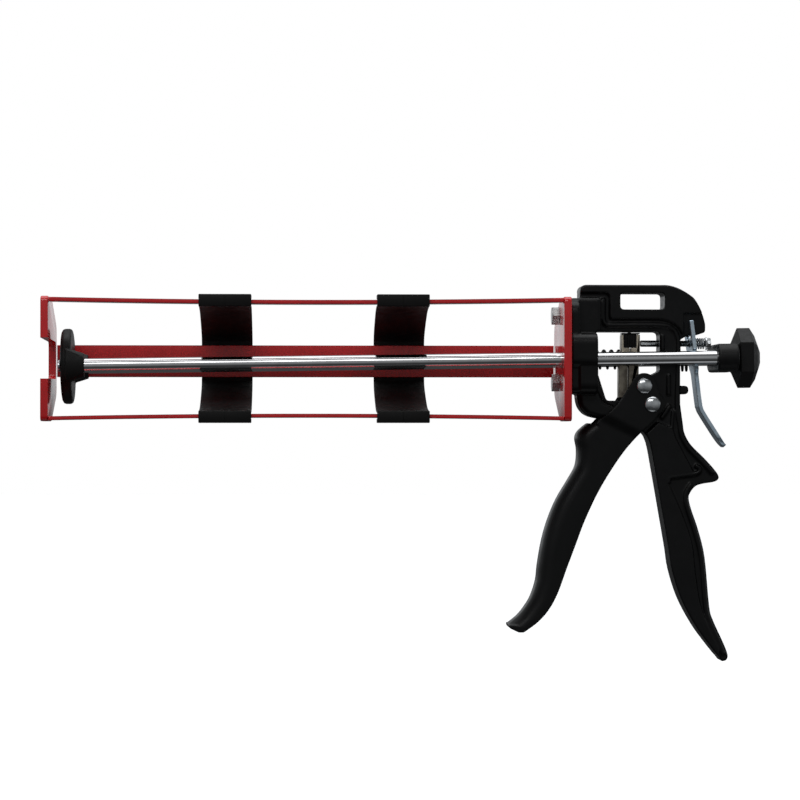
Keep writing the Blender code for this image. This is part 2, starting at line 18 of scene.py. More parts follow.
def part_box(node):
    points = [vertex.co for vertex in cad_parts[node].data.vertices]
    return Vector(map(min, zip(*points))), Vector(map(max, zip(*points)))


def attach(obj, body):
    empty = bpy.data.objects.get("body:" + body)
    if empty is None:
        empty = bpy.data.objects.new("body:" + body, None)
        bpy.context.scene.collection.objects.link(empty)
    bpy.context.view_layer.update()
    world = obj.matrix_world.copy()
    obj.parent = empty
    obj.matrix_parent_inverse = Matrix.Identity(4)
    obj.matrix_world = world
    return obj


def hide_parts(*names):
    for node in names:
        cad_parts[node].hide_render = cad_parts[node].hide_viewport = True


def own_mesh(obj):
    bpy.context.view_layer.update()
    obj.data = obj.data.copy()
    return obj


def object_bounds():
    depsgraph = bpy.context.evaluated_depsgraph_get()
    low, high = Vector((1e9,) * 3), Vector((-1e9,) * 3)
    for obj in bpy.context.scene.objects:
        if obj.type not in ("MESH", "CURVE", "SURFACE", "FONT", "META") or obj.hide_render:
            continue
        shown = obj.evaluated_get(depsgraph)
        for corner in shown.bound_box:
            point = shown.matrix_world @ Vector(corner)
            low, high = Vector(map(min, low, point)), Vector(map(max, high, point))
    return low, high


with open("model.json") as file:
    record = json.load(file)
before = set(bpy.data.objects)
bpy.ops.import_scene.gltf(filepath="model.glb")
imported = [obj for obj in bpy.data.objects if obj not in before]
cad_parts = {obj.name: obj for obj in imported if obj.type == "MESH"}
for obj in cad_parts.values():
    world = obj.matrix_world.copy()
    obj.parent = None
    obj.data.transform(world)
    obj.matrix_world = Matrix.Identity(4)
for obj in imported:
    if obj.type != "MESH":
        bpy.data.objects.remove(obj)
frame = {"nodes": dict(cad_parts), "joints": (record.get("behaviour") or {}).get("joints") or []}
cad_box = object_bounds()

MM = 0.001
rear_low, rear_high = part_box("rear_plate")
SEAT = Vector((rear_low.x, 0.0, (rear_low.z + rear_high.z) / 2))

# %% [markdown]
# ## Drawing outlines
#
# Cast and pressed parts are drawn as side views first. Round stretches come from a smooth curve through
# a few points that matter, so a handle needs about forty points and not hundreds.

# %% Planes to draw in
AXES = {"X": Vector((1, 0, 0)), "Y": Vector((0, 1, 0)), "Z": Vector((0, 0, 1))}


def in_space(axis, along, point):
    """A point of a drawing, standing square to the axis at this distance along it."""
    first, second = point
    if axis == "X":
        return Vector((along, first, second))
    if axis == "Y":
        return Vector((first, along, second))
    return Vector((first, second, along))


print("a point drawn across X:", in_space("X", 1, (2, 3))[:])

# %% Arcs and smooth lines


def arc(centre, radius, start, end, steps):
    """Points of an arc, in degrees anticlockwise."""
    turns = [math.radians(start + (end - start) * step / steps) for step in range(steps + 1)]
    return [(centre[0] + radius * math.cos(turn), centre[1] + radius * math.sin(turn)) for turn in turns]


def curve(points, steps=4):
    """A smooth line through the points."""
    ends = [points[0]] + list(points) + [points[-1]]
    smooth = []
    for before, a, b, after in zip(ends, ends[1:], ends[2:], ends[3:]):
        for step in range(steps):
            t = step / steps
            smooth.append(tuple(
                0.5 * (2 * q + (r - p) * t + (2 * p - 5 * q + 4 * r - s) * t * t
                       + (3 * q - p - 3 * r + s) * t ** 3)
                for p, q, r, s in zip(before, a, b, after)))
    return smooth + [points[-1]]


print("three points make a curve of", len(curve([(0, 0), (1, 1), (2, 0)])))

# %% Rounded corners


def rounded(points, radii, steps=5):
    """A closed outline whose corners are arcs of the radii given."""
    outline = []
    for index, (corner, radius) in enumerate(zip(points, radii)):
        here = Vector(corner)
        to_last = (Vector(points[index - 1]) - here).normalized()
        to_next = (Vector(points[(index + 1) % len(points)]) - here).normalized()
        half = to_last.angle(to_next) / 2
        if radius <= 0:
            outline.append(tuple(here))
            continue
        centre = here + (to_last + to_next).normalized() * radius / math.sin(half)
        start = here + to_last * radius / math.tan(half) - centre
        turn = start.angle_signed(here + to_next * radius / math.tan(half) - centre)
        for step in range(steps + 1):
            outline.append(tuple(centre + Matrix.Rotation(-turn * step / steps, 2) @ start))
    return outline


square = [(0, 0), (4, 0), (4, 4), (0, 4)]
print("a square with round corners has", len(rounded(square, (1, 1, 1, 1))), "points")

# %% [markdown]
# ## Turning outlines into solids
#
# A slab is an outline pushed through space, like plate cut on a bench saw. A bar is a cylinder or cone.
# A spun piece is a half profile turned on a lathe. Nearly everything on this gun is one of the three,
# and a bevel on the edges is what makes them catch the light like real metal.

# %% Slabs and boxes


def slab(points, axis, low, high):
    """The outline, extruded along the axis from low to high."""
    bm = bmesh.new()
    face = bm.faces.new([bm.verts.new(in_space(axis, low, point)) for point in points])
    pushed = bmesh.ops.extrude_face_region(bm, geom=[face])["geom"]
    moved = [item for item in pushed if isinstance(item, bmesh.types.BMVert)]
    bmesh.ops.translate(bm, vec=AXES[axis] * (high - low), verts=moved)
    bmesh.ops.recalc_face_normals(bm, faces=bm.faces)
    return bm


def box(low, high):
    corners = [(low[1], low[2]), (high[1], low[2]), (high[1], high[2]), (low[1], high[2])]
    return slab(corners, "X", low[0], high[0])


print("a box has", len(box((0, 0, 0), (1, 1, 1)).faces), "faces")

# %% Bars
TURNS = {
    "X": Matrix.Rotation(math.pi / 2, 4, "Y"),
    "Y": Matrix.Rotation(-math.pi / 2, 4, "X"),
    "Z": Matrix.Identity(4),
}


def bar(axis, centre, radius, low, high, sides=64, end_radius=None):
    """A cylinder along the axis, or a cone when its far end has another radius."""
    bm = bmesh.new()
    middle = Matrix.Translation(in_space(axis, (low + high) / 2, centre))
    bmesh.ops.create_cone(
        bm, cap_ends=True, segments=sides, radius1=radius, depth=high - low,
        radius2=radius if end_radius is None else end_radius, matrix=middle @ TURNS[axis])
    return bm


print("a bar has", len(bar("X", (0, 0), 1, 0, 1).faces), "faces")

# %% Lathe work
SAME_POINT = 1e-3


def spun(profile, axis, centre, steps=64):
    """A lathe-turned piece: the profile holds (distance along the axis, radius)."""
    bm = bmesh.new()
    points = [
        bm.verts.new(in_space(axis, along, (centre[0] + radius, centre[1])))
        for along, radius in profile
    ]
    edges = [bm.edges.new(pair) for pair in zip(points, points[1:])]
    bmesh.ops.spin(
        bm, geom=points + edges, cent=in_space(axis, 0, centre), axis=AXES[axis],
        angle=2 * math.pi, steps=steps, use_merge=True)
    bmesh.ops.remove_doubles(bm, verts=bm.verts, dist=SAME_POINT)
    bmesh.ops.recalc_face_normals(bm, faces=bm.faces)
    return bm


print("a turned pin has", len(spun([(0, 0), (0, 1), (1, 1), (1, 0)], "X", (0, 0)).faces), "faces")

# %% Rounding edges


def ease(bm, radius, segments=3, where=None, angle=30):
    """Rounds the sharp edges, or those that the test picks."""
    edges = []
    for edge in bm.edges:
        sharp = len(edge.link_faces) == 2 and edge.calc_face_angle() > math.radians(angle)
        if sharp and (where is None or where(edge)):
            edges.append(edge)
    bmesh.ops.bevel(
        bm, geom=edges, offset=radius, offset_type="OFFSET", segments=segments, profile=0.5,
        affect="EDGES", material=-1, clamp_overlap=True)
    return bm


print("an eased box has", len(ease(box((0, 0, 0), (9, 9, 9)), 1).faces), "faces")

# %% [markdown]
# ## Cutting, and casting
#
# Holes are cut with Blender's exact Boolean, and two curved blanks with its manifold one, which is
# steadier on their long outlines. A casting is different: its ribs, bosses and walls flow
# into each other with soft fillets that no edge bevel gives cleanly. So a casting's parts are laid
# over each other, remeshed into one skin, smoothed a little and then thinned where it is flat.

# %% Running modifiers
scene = bpy.context.scene


def shaped(bm, *steps):
    """The mesh after the modifiers, each given as (kind, settings)."""
    held = bpy.data.objects.new("held", bpy.data.meshes.new("held"))
    scene.collection.objects.link(held)
    bm.to_mesh(held.data)
    bm.free()
    for kind, settings in steps:
        modifier = held.modifiers.new(kind, kind)
        for key, value in settings.items():
            setattr(modifier, key, value)
    graph = bpy.context.evaluated_depsgraph_get()
    result = bpy.data.meshes.new_from_object(held.evaluated_get(graph))
    bpy.data.objects.remove(held)
    made = bmesh.new()
    made.from_mesh(result)
    bpy.data.meshes.remove(result)
    return made


print("a shape can pass through modifiers one after another")

# %% Cutting


def boolean(operation, tool, solver="EXACT"):
    return "BOOLEAN", {"operation": operation, "solver": solver, "object": tool}


def cutters(*tools):
    """Cutting shapes, kept until they are put away."""
    kept = []
    for bm in tools:
        tool = bpy.data.objects.new("cutter", bpy.data.meshes.new("cutter"))
        scene.collection.objects.link(tool)
        bm.to_mesh(tool.data)
        bm.free()
        kept.append(tool)
    return kept


def cut(bm, tools):
    return shaped(bm, *[boolean("DIFFERENCE", tool) for tool in tools])


def put_away(tools):
    for tool in tools:
        bpy.data.objects.remove(tool)


drill = cutters(bar("Z", (0, 0), 1, -9, 9))
print("a drilled box has", len(cut(box((-3, -3, -3), (3, 3, 3)), drill).faces), "faces")
put_away(drill)

# %% Casting
SMOOTHING = 0.5


def cast(parts, grain, smoothing, keep):
    """The parts as one skin with soft fillets. The grain is the remesh's cell, in millimetres."""
    whole = bmesh.new()
    for part in parts:
        mesh = bpy.data.meshes.new("part")
        part.to_mesh(mesh)
        part.free()
        whole.from_mesh(mesh)
        bpy.data.meshes.remove(mesh)
    return shaped(
        whole,
        ("REMESH", {"mode": "VOXEL", "voxel_size": grain}),
        ("SMOOTH", {"factor": SMOOTHING, "iterations": smoothing}),
        ("DECIMATE", {"ratio": keep}))


print("castings are smoothed by", SMOOTHING, "a pass")

# %% [markdown]
# ## From drawing to object
#
# A finished piece keeps its object at the world's origin, unturned and unscaled, with its place in its
# mesh. Then it moves exactly with its body, and patterns that follow the object's own coordinates stay
# at real scale on it.

# %% Finishing helpers


def dress(node, bm, finish, body, angle=35, turn=None):
    """Makes the piece that stands for a frame node and rides on its body."""
    if turn is not None:
        bmesh.ops.transform(bm, matrix=turn, verts=bm.verts)
    bmesh.ops.scale(bm, vec=(MM, MM, MM), verts=bm.verts)
    bmesh.ops.translate(bm, vec=SEAT, verts=bm.verts)
    mesh = bpy.data.meshes.new(node + "_look")
    bm.to_mesh(mesh)
    bm.free()
    mesh.materials.append(finish)
    mesh.shade_smooth()
    mesh.set_sharp_from_angle(angle=math.radians(angle))
    obj = bpy.data.objects.new(node + "_look", mesh)
    scene.collection.objects.link(obj)
    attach(obj, body)
    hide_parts(node)
    print(obj.name, len(mesh.polygons), "faces")
    return obj


def from_frame(node):
    """A node's own shape in bench millimetres, with its loose triangles merged into clean faces."""
    bm = bmesh.new()
    bm.from_mesh(frame["nodes"][node].data)
    bmesh.ops.translate(bm, vec=-SEAT, verts=bm.verts)
    bmesh.ops.scale(bm, vec=(1000, 1000, 1000), verts=bm.verts)
    bmesh.ops.remove_doubles(bm, verts=bm.verts, dist=SAME_POINT)
    bmesh.ops.dissolve_limit(bm, angle_limit=math.radians(0.5), verts=bm.verts, edges=bm.edges)
    return bm


# %% [markdown]
# ## Surfaces
#
# Every finish starts from the same recipe: a slow noise varies the colour a little, a quicker one
# varies the gloss, and a fine one raises a grain. What makes red enamel differ from black casting
# paint or bright zinc is how much of each there is, and how large the grain is. Patterns read object
# coordinates, in metres, so a scale of 900 gives grains of about a millimetre.

# %% The shared recipe


def surface(name, dark, light, gloss, metallic=0.0, cloud=60.0, grain=900.0, relief=0.05,
            depth=0.0002, stretch=(1, 1, 1), specular=0.5, coat=0.0):
    """A Principled material whose colour, roughness and relief vary over the piece."""
    made = bpy.data.materials.new(name)
    made.use_nodes = True
    nodes = made.node_tree.nodes
    links = made.node_tree.links
    shader = nodes["Principled BSDF"]
    shader.inputs["Metallic"].default_value = metallic
    shader.inputs["Specular IOR Level"].default_value = specular
    shader.inputs["Coat Weight"].default_value = coat
    shader.inputs["Coat Roughness"].default_value = 0.08
    place = nodes.new("ShaderNodeTexCoord")
    lay = nodes.new("ShaderNodeMapping")
    lay.inputs["Scale"].default_value = stretch
    links.new(place.outputs["Object"], lay.inputs["Vector"])

    def noise(scale, detail):
        node = nodes.new("ShaderNodeTexNoise")
        node.inputs["Scale"].default_value = scale
        node.inputs["Detail"].default_value = detail
        links.new(lay.outputs["Vector"], node.inputs["Vector"])
        return node

    ramp = nodes.new("ShaderNodeValToRGB")
    ramp.color_ramp.elements[0].position = 0.35
    ramp.color_ramp.elements[0].color = (*dark, 1.0)
    ramp.color_ramp.elements[1].position = 0.65
    ramp.color_ramp.elements[1].color = (*light, 1.0)
    links.new(noise(cloud, 4.0).outputs["Fac"], ramp.inputs["Fac"])
    links.new(ramp.outputs["Color"], shader.inputs["Base Color"])

    polish = nodes.new("ShaderNodeMapRange")
    polish.inputs["From Min"].default_value = 0.3
    polish.inputs["From Max"].default_value = 0.7
    polish.inputs["To Min"].default_value = gloss[0]
    polish.inputs["To Max"].default_value = gloss[1]
    links.new(noise(cloud * 4, 3.0).outputs["Fac"], polish.inputs["Value"])
    links.new(polish.outputs["Result"], shader.inputs["Roughness"])

    bump = nodes.new("ShaderNodeBump")
    bump.inputs["Strength"].default_value = relief
    bump.inputs["Distance"].default_value = depth
    links.new(noise(grain, 2.0).outputs["Fac"], bump.inputs["Height"])
    links.new(bump.outputs["Normal"], shader.inputs["Normal"])
    return made


# %% [markdown]
# ### Paints
#
# The carriage is pressed steel in glossy red enamel. Sprayed enamel dries with a faint orange peel, a
# few millimetres across, under a clear gloss. The casting and the trigger wear black satin paint:
# on the casting it sits over a slightly sandy skin, and on the trigger over smooth sheet.

# %% Paint finishes
RED_ENAMEL = surface(
    "red_enamel", (0.70, 0.006, 0.010), (0.80, 0.010, 0.015), (0.16, 0.26),
    grain=150, relief=0.008, coat=0.5)
# A darker copy of the red enamel for the back strip: painted shade, standing in for the shade it lies in
# behind the carriage.
RED_PAINTED_SHADE = surface(
    "red_enamel_painted_shade", (0.56, 0.005, 0.008), (0.64, 0.008, 0.012), (0.22, 0.32),
    grain=150, relief=0.008, coat=0.3)
CASTING_BLACK = surface(
    "casting_black", (0.0030, 0.0030, 0.0033), (0.0048, 0.0048, 0.0052), (0.27, 0.40),
    cloud=90, grain=1500, relief=0.12, specular=0.24)
SHEET_BLACK = surface(
    "sheet_black", (0.0030, 0.0030, 0.0033), (0.0042, 0.0042, 0.0046), (0.33, 0.43),
    cloud=50, grain=1800, relief=0.06, specular=0.24)
SPRING_BLACK = surface(
    "spring_black", (0.004, 0.004, 0.004), (0.010, 0.010, 0.011), (0.25, 0.4), grain=1500,
    relief=0.05)
print("paints:", RED_ENAMEL.name, RED_PAINTED_SHADE.name, CASTING_BLACK.name, SHEET_BLACK.name, SPRING_BLACK.name)

# %% [markdown]
# ### Plastics
#
# The clips and the pusher are moulded in matte black, which scatters the light and shows a fine even
# grain. The knob's plastic is a shade greyer. None of them is perfectly black.

# %% Plastic finishes
CLIP_PLASTIC = surface(
    "clip_plastic", (0.0030, 0.0028, 0.0028), (0.0048, 0.0042, 0.0042), (0.42, 0.55),
    cloud=40, grain=2500, relief=0.10, specular=0.22)
KNOB_PLASTIC = surface(
    "knob_plastic", (0.0035, 0.0035, 0.0038), (0.0058, 0.0058, 0.0062), (0.42, 0.54),
    cloud=80, grain=2500, relief=0.12, specular=0.26)
print("plastics:", CLIP_PLASTIC.name, KNOB_PLASTIC.name)

# %% [markdown]
# ### Bare metals
#
# The rods are ground and chromed, so any marks run around them and they mirror the room in straight
# bands. Zinc plating on the lever is cloudy and slightly blue. Rivet heads are pressed, which leaves
# them wavy. The carriage bolts are a darker zinc. The grip plates are yellow-brown from their heat treatment.

# %% Metal finishes
CHROME = surface(
    "rod_chrome", (0.74, 0.74, 0.75), (0.82, 0.82, 0.83), (0.05, 0.10), metallic=1.0,
    cloud=30, grain=400, relief=0.02, stretch=(6, 1, 1))
BRIGHT_ZINC = surface(
    "bright_zinc", (0.52, 0.54, 0.56), (0.80, 0.82, 0.83), (0.14, 0.26), metallic=1.0,
    cloud=220, grain=420, relief=0.30, depth=0.0004)
DARK_ZINC = surface(
    "dark_zinc", (0.30, 0.29, 0.29), (0.48, 0.47, 0.46), (0.18, 0.30), metallic=1.0,
    cloud=220, grain=420, relief=0.15, depth=0.0004)
BLUE_ZINC = surface(
    "blue_zinc", (0.56, 0.70, 0.82), (0.74, 0.86, 0.95), (0.26, 0.38), metallic=1.0,
    cloud=120, grain=1600, relief=0.10)
GRIP_BRONZE = surface(
    "grip_bronze", (0.34, 0.30, 0.24), (0.52, 0.47, 0.38), (0.34, 0.48), metallic=0.85,
    cloud=260, grain=1400, relief=0.18)
print("metals:", CHROME.name, BRIGHT_ZINC.name, DARK_ZINC.name, BLUE_ZINC.name, GRIP_BRONZE.name)

# %% [markdown]
# ## The carriage plates
#
# Two steel plates hold the cartridge end to end. They are blanked from sheet, so the edges are
# slightly rolled on both sides. The front one has a slot for the nozzle that opens to the side, and the
# rear one is punched for the two rods and the two bolts.

# %% Plates


PLATE_CORNERS = [(-31, -36), (-3, -36), (31.5, -20.5), (31.5, 20.5), (-3, 36), (-31, 36)]
PLATE_RADII = (3, 12, 8, 8, 12, 3)
NOZZLE_SLOT = [(-61, -12), (26, -10.8), (26, 11.2), (-61, 12.4)]
ROD_HOLES = ((-17.0, 0.0), (17.0, 0.0))
BOLT_HOLES = ((0.0, 26.0), (0.0, -13.3))


def plate(node, low, high, holes):
    blanked = ease(slab(rounded(PLATE_CORNERS, PLATE_RADII), "X", low, high), 0.6, segments=3, angle=50)
    punches = cutters(*holes)
    dress(node, cut(blanked, punches), RED_ENAMEL, "frame")
    put_away(punches)


plate("front_plate", -301.3, -296.9, [slab(rounded(NOZZLE_SLOT, (0, 3, 3, 0)), "X", -310, -290)])
plate("rear_plate", 0.0, 4.4, [
    *[bar("X", hole, 4.8, -5, 10) for hole in ROD_HOLES],
    *[bar("X", hole, 3.3, -5, 10, sides=32) for hole in BOLT_HOLES]])

# %% [markdown]
# ## The strips
#
# Three strips join the plates. The two at the open side are narrow and bow in by a millimetre and a
# half, as thin strip does when it is welded between stiff plates. A strip is one short slab, extruded
# station by station along the gun and moved onto its bow.

# %% Strips
STRIP_ENDS = (-296.5, -0.4)
STRIP_BOW = 1.5
STATIONS = 40


def strip(node, corners, bow, finish):
    start, end = STRIP_ENDS
    bm = bmesh.new()
    ring = bm.faces.new([bm.verts.new(in_space("X", start, point)) for point in corners])
    for _ in range(STATIONS):
        pushed = bmesh.ops.extrude_face_region(bm, geom=[ring])["geom"]
        moved = [item for item in pushed if isinstance(item, bmesh.types.BMVert)]
        bmesh.ops.translate(bm, vec=Vector(((end - start) / STATIONS, 0, 0)), verts=moved)
        ring = [item for item in pushed if isinstance(item, bmesh.types.BMFace)][0]
    bmesh.ops.recalc_face_normals(bm, faces=bm.faces)
    ease(bm, 0.45, segments=3, where=lambda edge: abs((edge.verts[0].co - edge.verts[1].co).x) > 1)
    for vert in bm.verts:
        share = 2 * (vert.co.x - start) / (end - start) - 1
        vert.co.z += bow * (1 - share * share)
    return dress(node, bm, finish, "frame", angle=50)


def rectangle(left, right, bottom, top):
    return [(left, bottom), (right, bottom), (right, top), (left, top)]


strip("top_strip", rectangle(-31.0, -19.0, 32.9, 35.3), -STRIP_BOW, RED_ENAMEL)
strip("bottom_strip", rectangle(-31.0, -19.0, -35.5, -33.2), STRIP_BOW, RED_ENAMEL)
# The back strip takes the darker red, which is painted shade for its place inside the carriage.
strip("back_strip", rectangle(29.5, 31.5, -9.5, 9.5), 0.0, RED_PAINTED_SHADE)

# %% [markdown]
# ## The cradle clips
#
# Two moulded clips steady the cartridge. Each wraps behind the carriage and hooks over the near edges
# of both strips. Seen from its end it is one continuous wall about two millimetres thick, so it is an
# outline extruded by its width. A shallow mould line runs down the middle of the near lips.

# %% Clips
CLIP_SPANS = {"front_clip": (-210.8, -180.5), "rear_clip": (-108.2, -77.9)}


def clip_outline():
    outer = [(-21.5, 37.0), (-21.5, 34.4), (-31.2, 34.4), (-31.2, 31.1)]
    outer += curve([(-19.0, 31.1), (-8.0, 29.8), (5.0, 26.4), (18.0, 22.0), (29.0, 17.4), (33.4, 13.4),
                    (34.4, 10.0)], 5)
    inner = curve([(32.4, 10.0), (31.6, 12.4), (28.0, 15.4), (17.2, 20.0), (4.4, 24.4), (-8.4, 27.8),
                   (-23.0, 29.6)], 5)
    inner += [(-33.5, 30.0), (-33.5, 37.0)]
    below = [(y, -z) for y, z in reversed(outer)]
    back = [(y, -z) for y, z in reversed(inner)]
    return outer + below + back + inner


for node, (start, end) in CLIP_SPANS.items():
    shell = ease(slab(clip_outline(), "X", start, end), 0.5, segments=3, angle=40)
    middle = (start + end) / 2
    groove = cutters(
        slab([(middle - 0.25, -34.0), (middle + 0.25, -34.0), (middle, -33.3)], "Z", -45, 45))
    dress(node, cut(shell, groove), CLIP_PLASTIC, "frame", angle=30)
    put_away(groove)

# %% [markdown]
# ## Hex bolts
#
# Two bolts hold the carriage to the casting. A hex head is turned first and then milled, which is why
# its corners end in a round chamfer: a six-sided bar is cut back by a cone.

# %% Carriage bolts
BOLT_HEIGHTS = {"upper_carriage_bolt": 26.0, "lower_carriage_bolt": -13.3}
HEX_OVER_CORNERS = 5.75


def hex_head(axis, centre, radius, low, high, chamfered_low=True):
    """A hex prism whose outer face is chamfered by a turned cone."""
    head = bar(axis, centre, radius, low, high, sides=6)
    span = high - low
    if chamfered_low:
        turned = [(low, 0.0), (low, radius * 0.86), (low + span * 0.22, radius * 1.02), (high, radius * 1.02),
                  (high, 0.0)]
    else:
        turned = [(low, 0.0), (low, radius * 1.02), (high - span * 0.22, radius * 1.02),
                  (high, radius * 0.86), (high, 0.0)]
    limit = cutters(spun(turned, axis, centre))
    head = shaped(head, boolean("INTERSECT", limit[0]))
    put_away(limit)
    return head


def merged(first, second):
    other = cutters(second)
    whole = shaped(first, boolean("UNION", other[0]))
    put_away(other)
    return whole


for node, height in BOLT_HEIGHTS.items():
    head = hex_head("X", (0, height), HEX_OVER_CORNERS, -4.5, -0.3)
    shank = bar("X", (0, height), 3.0, -1.0, 15.0, sides=32)
    dress(node, merged(head, shank), DARK_ZINC, "frame")

# %% [markdown]
# ## The casting
#
# Housing and handle are one aluminium casting. Its middle web is thin, and everything that carries
# load stands proud of it: the top bar, the rear rim, the grip's front panel, the pivot boss and the
# wide front column that guides both rods. The parts below are those raised areas, drawn one by one
# over the web, and the casting helper melts them into one skin.

# %% The casting's sizes and rear edge
WEB = 8.6
PROUD = 10.5
PIVOT = (53.1, -25.9)
DRIVE = (48.3, -15.1)
ROD_Y = 17.0


def back_edge():
    """The rear edge, from the column down over the thumb spur to the tip."""
    return curve([(70.4, -26.0), (71.9, -36.9), (72.9, -42.9), (76.6, -49.6), (84.6, -57.6),
                  (91.0, -64.8), (93.1, -68.6), (92.0, -70.6), (89.4, -71.6), (83.2, -72.6),
                  (79.0, -74.2), (75.9, -78.3), (75.4, -81.5), (76.9, -87.7), (81.1, -100.2),
                  (84.7, -115.8), (87.3, -143.8), (89.4, -152.1), (95.6, -165.7), (98.2, -172.9),
                  (97.2, -175.9), (94.6, -176.6)])


print("the rear edge has", len(back_edge()), "points")

# %% The grip's front edge and the top


def front_edge():
    """The grip's front edge, from the tip up to the trigger."""
    return curve([(93.1, -174.5), (86.8, -166.7), (78.6, -155.3), (70.3, -139.7), (65.0, -123.0),
                  (62.9, -109.5), (58.8, -85.6), (55.2, -64.8), (52.0, -48.2), (48.4, -42.1)])


def top_edge():
    return curve([(57.9, 43.95), (63.5, 43.8), (69.9, 41.8), (76.7, 37.7), (79.9, 34.2), (83.4, 27.2),
                  (85.2, 20.6), (84.9, 16.2)])


print("the front and top edges have", len(front_edge()), "and", len(top_edge()), "points")

# %% The whole outline


def web_outline():
    corner = arc((14.6, 40.8), 3.2, 180, 90, 5)
    hook = [(79.7, 14.5), (75.0, 14.5), (70.4, 11.9)]
    belly = curve([(38.0, -36.5), (23.3, -34.4), (15.4, -32.2), (11.1, -27.7), (9.6, -22.0)])
    return corner + top_edge() + hook + back_edge() + front_edge() + belly


print("the web is drawn with", len(web_outline()), "points")

# %% Half-round ribs


def both_sides(make):
    """A part for each side of the gun, given the side's sign."""
    return [make(-1), make(1)]


def bead(points, side, radius, sink=0.35):
    """A half-round rib that stands on the web, drawn as a round wire sunk into it."""
    path = bpy.data.curves.new("bead", "CURVE")
    path.dimensions = "3D"
    path.bevel_depth = radius
    path.bevel_resolution = 3
    path.use_fill_caps = True
    line = path.splines.new("POLY")
    line.points.add(len(points) - 1)
    for point, (x, z) in zip(line.points, points):
        point.co = (x, side * (WEB - radius * sink + 0.5), z, 1.0)
    held = bpy.data.objects.new("bead", path)
    scene.collection.objects.link(held)
    graph = bpy.context.evaluated_depsgraph_get()
    mesh = bpy.data.meshes.new_from_object(held.evaluated_get(graph))
    bpy.data.objects.remove(held)
    bm = bmesh.new()
    bm.from_mesh(mesh)
    bmesh.ops.remove_doubles(bm, verts=bm.verts, dist=SAME_POINT)
    return bm


# %% Flat raised panels


def top_panel():
    """The top bar with its hook, down to the step over the window."""
    left = [(11.4, 39.2), (25.6, 39.2)] + arc((25.6, 36.2), 3.0, 90, 0, 4)[1:] + [(28.6, 25.4)]
    left += arc((30.4, 25.4), 1.8, 180, 270, 3)[1:]
    under = curve([(58.0, 23.6), (64.0, 22.2), (69.0, 18.6), (71.5, 14.6)])
    hook = [(75.0, 14.9), (79.7, 14.9)]
    return arc((14.6, 40.8), 3.2, 180, 90, 5) + top_edge() + list(reversed(hook)) + list(reversed(under)) \
        + list(reversed(left))


def grip_panel():
    """The flat front panel of the grip, which ends at a slanting ridge."""
    ridge = curve([(63.5, -73.0), (70.4, -88.7), (76.6, -106.6), (78.8, -124.6), (81.6, -142.6),
                   (86.6, -156.1), (92.6, -168.5)])
    top = [(78.1, -66.0), (64.7, -68.2), (63.1, -70.0)]
    front = [point for point in front_edge() if point[1] < -45]
    return front + [(50.0, -43.0), (57.0, -36.5), (65.5, -40.0), (67.5, -46.0)] + top + ridge


print("the panels have", len(top_panel()), "and", len(grip_panel()), "points")

# %% Lines of the ribs
RIM_LINE = curve([(25.0, 36.0), (25.0, 24.0), (26.8, 20.9), (30.0, 20.4), (58.0, 20.4), (65.4, 18.6),
                  (68.5, 14.0), (69.3, 6.0), (68.4, -26.0), (69.9, -38.0), (71.1, -44.2), (75.1, -51.4),
                  (82.9, -59.4), (89.5, -66.6)])
GRIP_RIM = curve([(76.9, -72.4), (73.7, -77.4), (73.3, -82.2), (74.9, -88.6), (78.9, -100.8),
                  (82.5, -116.2), (84.9, -143.6), (87.1, -152.9), (93.1, -166.4), (95.5, -172.4)])
THUMB_RIB = curve([(63.3, -72.0), (63.5, -69.8), (65.1, -68.6), (77.7, -66.8), (81.3, -65.4), (81.3, -63.2),
                   (78.9, -61.8)])
print("rim:", len(RIM_LINE), "grip:", len(GRIP_RIM), "thumb:", len(THUMB_RIB), "points")

# %% All the parts, laid over each other
parts = [
    ease(slab(web_outline(), "Y", -WEB, WEB), 1.8, segments=3, angle=50),
    ease(slab(top_panel(), "Y", -PROUD, PROUD), 1.0, segments=2, angle=50),
    ease(slab(grip_panel(), "Y", -PROUD, PROUD), 1.2, segments=2, angle=50),
    ease(slab(rectangle(4.8, 23.2, 15.0, 36.0), "Y", -15.0, 15.0), 1.6),
    ease(slab(rounded(rectangle(-22, 22, -20, 34.4), (4, 4, 7, 7)), "X", 4.8, 10.2), 0.9),
    ease(slab(rounded(rectangle(-24.9, 24.9, -5.0, 15.4), (5, 5, 6, 6)), "X", 4.8, 20.6), 1.2),
    ease(slab(rounded(rectangle(-23.6, 23.6, -20.0, 4.0), (6, 6, 3, 3)), "X", 9.6, 20.6), 1.2),
    ease(slab([(9.8, -16.0), (20.6, -16.0), (25.0, -24.5), (36.0, -29.0), (36.0, -34.6), (23.3, -34.0),
               (15.4, -31.8), (11.3, -27.4)], "Y", -12.0, 12.0), 2.2),
    bar("Y", PIVOT, 7.6, -12.6, 12.6, sides=48),
    ease(slab(rounded(rectangle(68.6, 75.8, -20.0, -15.0), (1.5, 2, 2, 1.5)), "Y", -5.0, 5.0), 1.0),
]
for line, radius in (
    (RIM_LINE, 1.35), (GRIP_RIM, 1.35), ([(63.4, -8.5), (63.4, -20.5)], 1.2),
    ([(64.4, -26.6), (59.0, -34.2)], 1.2), ([(66.0, -29.5), (65.0, -41.0)], 1.0),
    ([(60.0, 6.0), (60.0, 14.5)], 1.0),
):
    parts += both_sides(lambda side: bead(line, side, radius))
parts += both_sides(lambda side: bead(THUMB_RIB, side * 1.1, 1.15))
print("the casting is melted from", len(parts), "parts")

